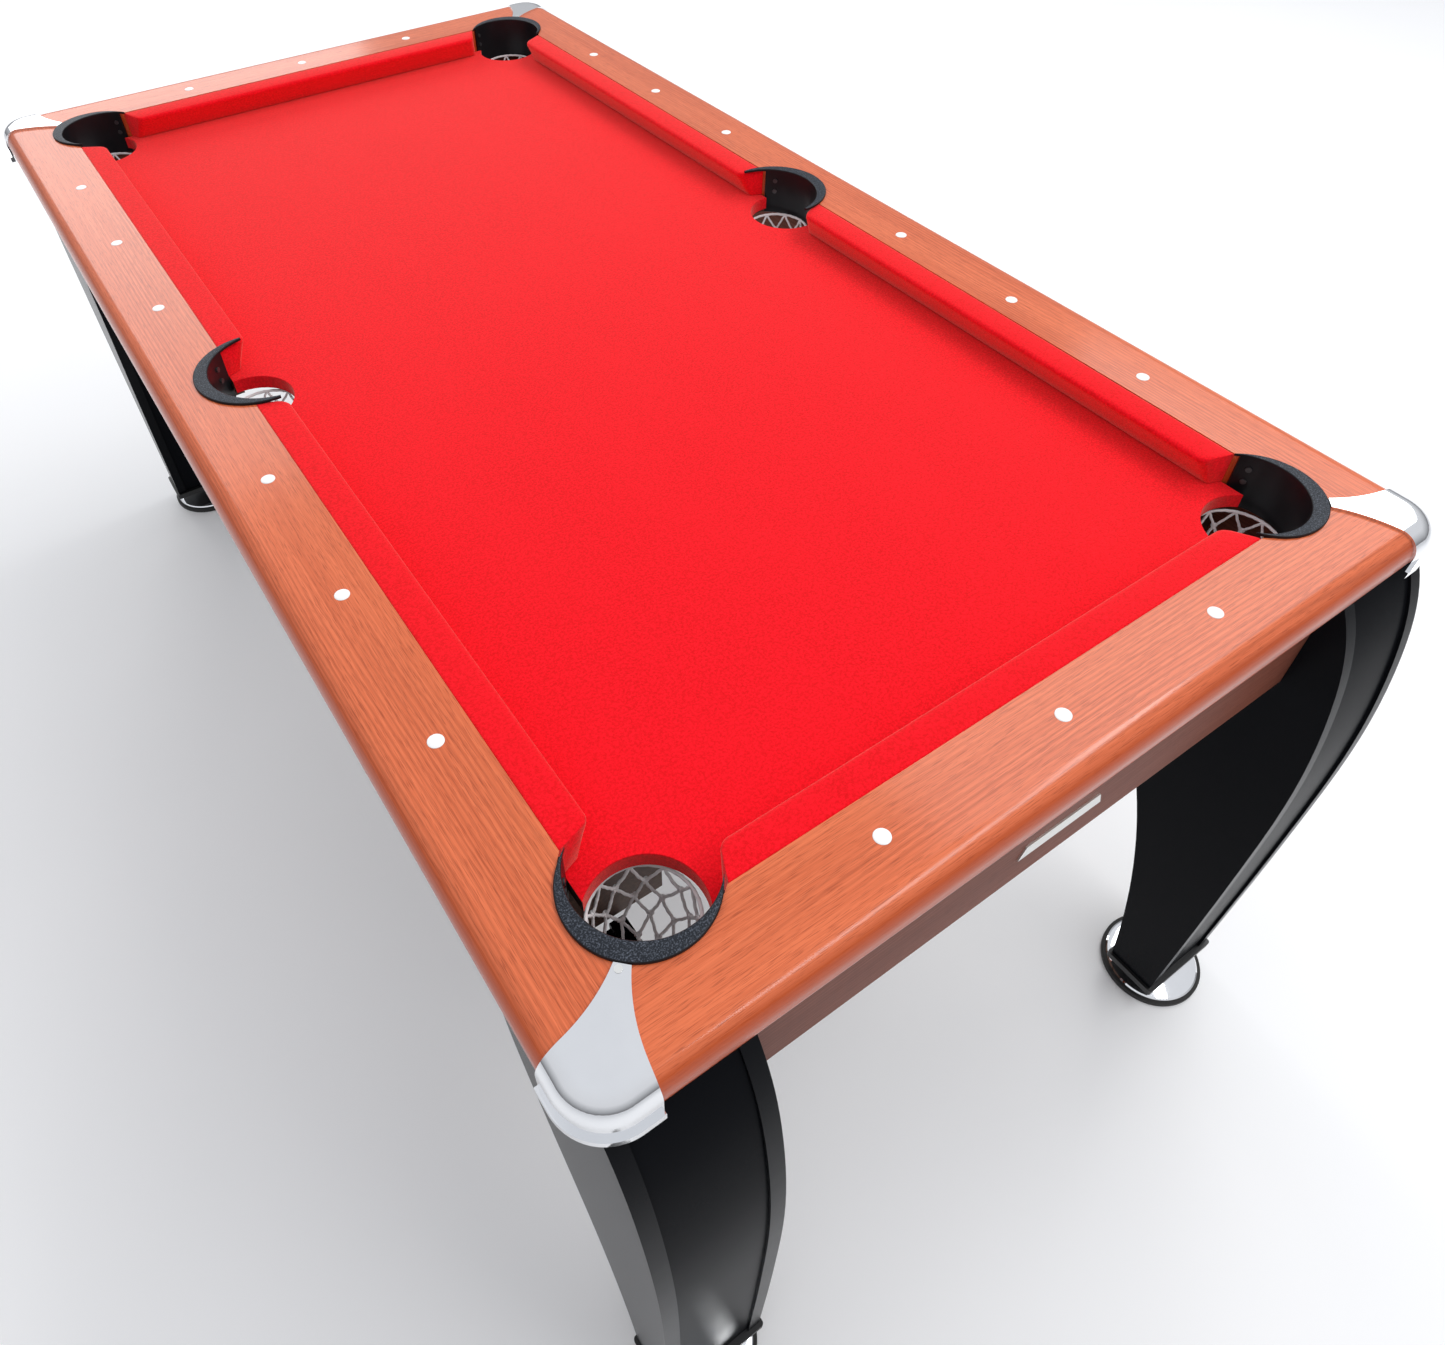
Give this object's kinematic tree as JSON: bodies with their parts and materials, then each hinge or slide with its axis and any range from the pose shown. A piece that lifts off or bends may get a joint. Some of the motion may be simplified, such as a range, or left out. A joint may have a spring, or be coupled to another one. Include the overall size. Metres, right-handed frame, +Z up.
{
  "type": "pocket pool table",
  "caption": "Home pool table with wood-grain rails, cloth bed, six net pockets, chrome corner caps and curved black box legs on screw feet.",
  "frame": {"origin": "on the floor under the middle of the table", "axes": "+Z up, Y along the table with the blank plate's end at -Y, X across it"},
  "size_m": [0.951, 1.93, 0.81],
  "materials": {
    "cherry_laminate": "satin wood-grain laminate",
    "apron_laminate": "satin wood-grain laminate, darker",
    "brown_board": "plain brown fibreboard",
    "red_cloth": "short-nap billiard cloth",
    "white_plastic": "smooth satin",
    "black_liner": "grained rim, glossy wall",
    "black_plastic": "moulded satin",
    "white_cord": "knotted twisted cord",
    "chrome": "bright plated",
    "silver_plate": "blank satin plate",
    "black_laminate": "satin black laminate",
    "black_rubber": "matt",
    "steel": "zinc plated"
  },
  "bodies": {
    "table": {"rail_left": "cherry_laminate", "rail_right": "cherry_laminate", "rail_near": "cherry_laminate", "rail_far": "cherry_laminate", "rail_sights": "white_plastic", "cushion_left_near": "red_cloth", "cushion_left_far": "red_cloth", "cushion_right_near": "red_cloth", "cushion_right_far": "red_cloth", "cushion_near": "red_cloth", "cushion_far": "red_cloth", "playfield_bed": "brown_board", "bed_cloth": "red_cloth", "pocket_liner_near_left": "black_liner", "pocket_liner_near_right": "black_liner", "pocket_liner_far_left": "black_liner", "pocket_liner_far_right": "black_liner", "pocket_liner_left": "black_liner", "pocket_liner_right": "black_liner", "small_screws": "steel", "pocket_net_near_left": "white_cord", "pocket_net_near_right": "white_cord", "pocket_net_far_left": "white_cord", "pocket_net_far_right": "white_cord", "pocket_net_left": "white_cord", "pocket_net_right": "white_cord", "corner_cap_near_left": "chrome", "corner_cap_near_right": "chrome", "corner_cap_far_left": "chrome", "corner_cap_far_right": "chrome", "apron_near": "apron_laminate", "apron_far": "apron_laminate", "apron_left": "apron_laminate", "apron_right": "apron_laminate", "name_plate": "silver_plate", "bed_supports": "brown_board", "leg_mount_panels": "brown_board", "leg_boards_near_left": "black_laminate", "leg_front_near_left": "black_laminate", "leg_boards_near_right": "black_laminate", "leg_front_near_right": "black_laminate", "leg_boards_far_left": "black_laminate", "leg_front_far_left": "black_laminate", "leg_boards_far_right": "black_laminate", "leg_front_far_right": "black_laminate", "leg_back_panels": "black_laminate", "leg_base_plates": "black_plastic", "leg_screws": "steel"},
    "foot_near_left": {"foot_tread_near_left": "black_rubber", "foot_bell_near_left": "chrome"},
    "stem_near_left": {"foot_stem_near_left": "steel"},
    "foot_near_right": {"foot_tread_near_right": "black_rubber", "foot_bell_near_right": "chrome"},
    "stem_near_right": {"foot_stem_near_right": "steel"},
    "foot_far_left": {"foot_tread_far_left": "black_rubber", "foot_bell_far_left": "chrome"},
    "stem_far_left": {"foot_stem_far_left": "steel"},
    "foot_far_right": {"foot_tread_far_right": "black_rubber", "foot_bell_far_right": "chrome"},
    "stem_far_right": {"foot_stem_far_right": "steel"}
  },
  "joints": [
    {"name": "foot_near_left_extend", "type": "slide", "parent": "table", "child": "foot_near_left", "axis": [0, 0, -1], "range_m": [0, 0.012]},
    {"name": "stem_near_left_turn", "type": "hinge", "parent": "foot_near_left", "child": "stem_near_left", "pos_m": [-0.3955, -0.898, 0.05], "axis": [0, 0, -1], "range_deg": [0, 2468.57]},
    {"name": "foot_near_right_extend", "type": "slide", "parent": "table", "child": "foot_near_right", "axis": [0, 0, -1], "range_m": [0, 0.012]},
    {"name": "stem_near_right_turn", "type": "hinge", "parent": "foot_near_right", "child": "stem_near_right", "pos_m": [0.3955, -0.898, 0.05], "axis": [0, 0, -1], "range_deg": [0, 2468.57]},
    {"name": "foot_far_left_extend", "type": "slide", "parent": "table", "child": "foot_far_left", "axis": [0, 0, -1], "range_m": [0, 0.012]},
    {"name": "stem_far_left_turn", "type": "hinge", "parent": "foot_far_left", "child": "stem_far_left", "pos_m": [-0.3955, 0.898, 0.05], "axis": [0, 0, -1], "range_deg": [0, 2468.57]},
    {"name": "foot_far_right_extend", "type": "slide", "parent": "table", "child": "foot_far_right", "axis": [0, 0, -1], "range_m": [0, 0.012]},
    {"name": "stem_far_right_turn", "type": "hinge", "parent": "foot_far_right", "child": "stem_far_right", "pos_m": [0.3955, 0.898, 0.05], "axis": [0, 0, -1], "range_deg": [0, 2468.57]}
  ],
  "couplings": [
    {"joint": "stem_near_left_turn", "follows": "foot_near_left_extend", "rad_per_m": 3590.4},
    {"joint": "stem_near_right_turn", "follows": "foot_near_right_extend", "rad_per_m": 3590.4},
    {"joint": "stem_far_left_turn", "follows": "foot_far_left_extend", "rad_per_m": 3590.4},
    {"joint": "stem_far_right_turn", "follows": "foot_far_right_extend", "rad_per_m": 3590.4}
  ]
}
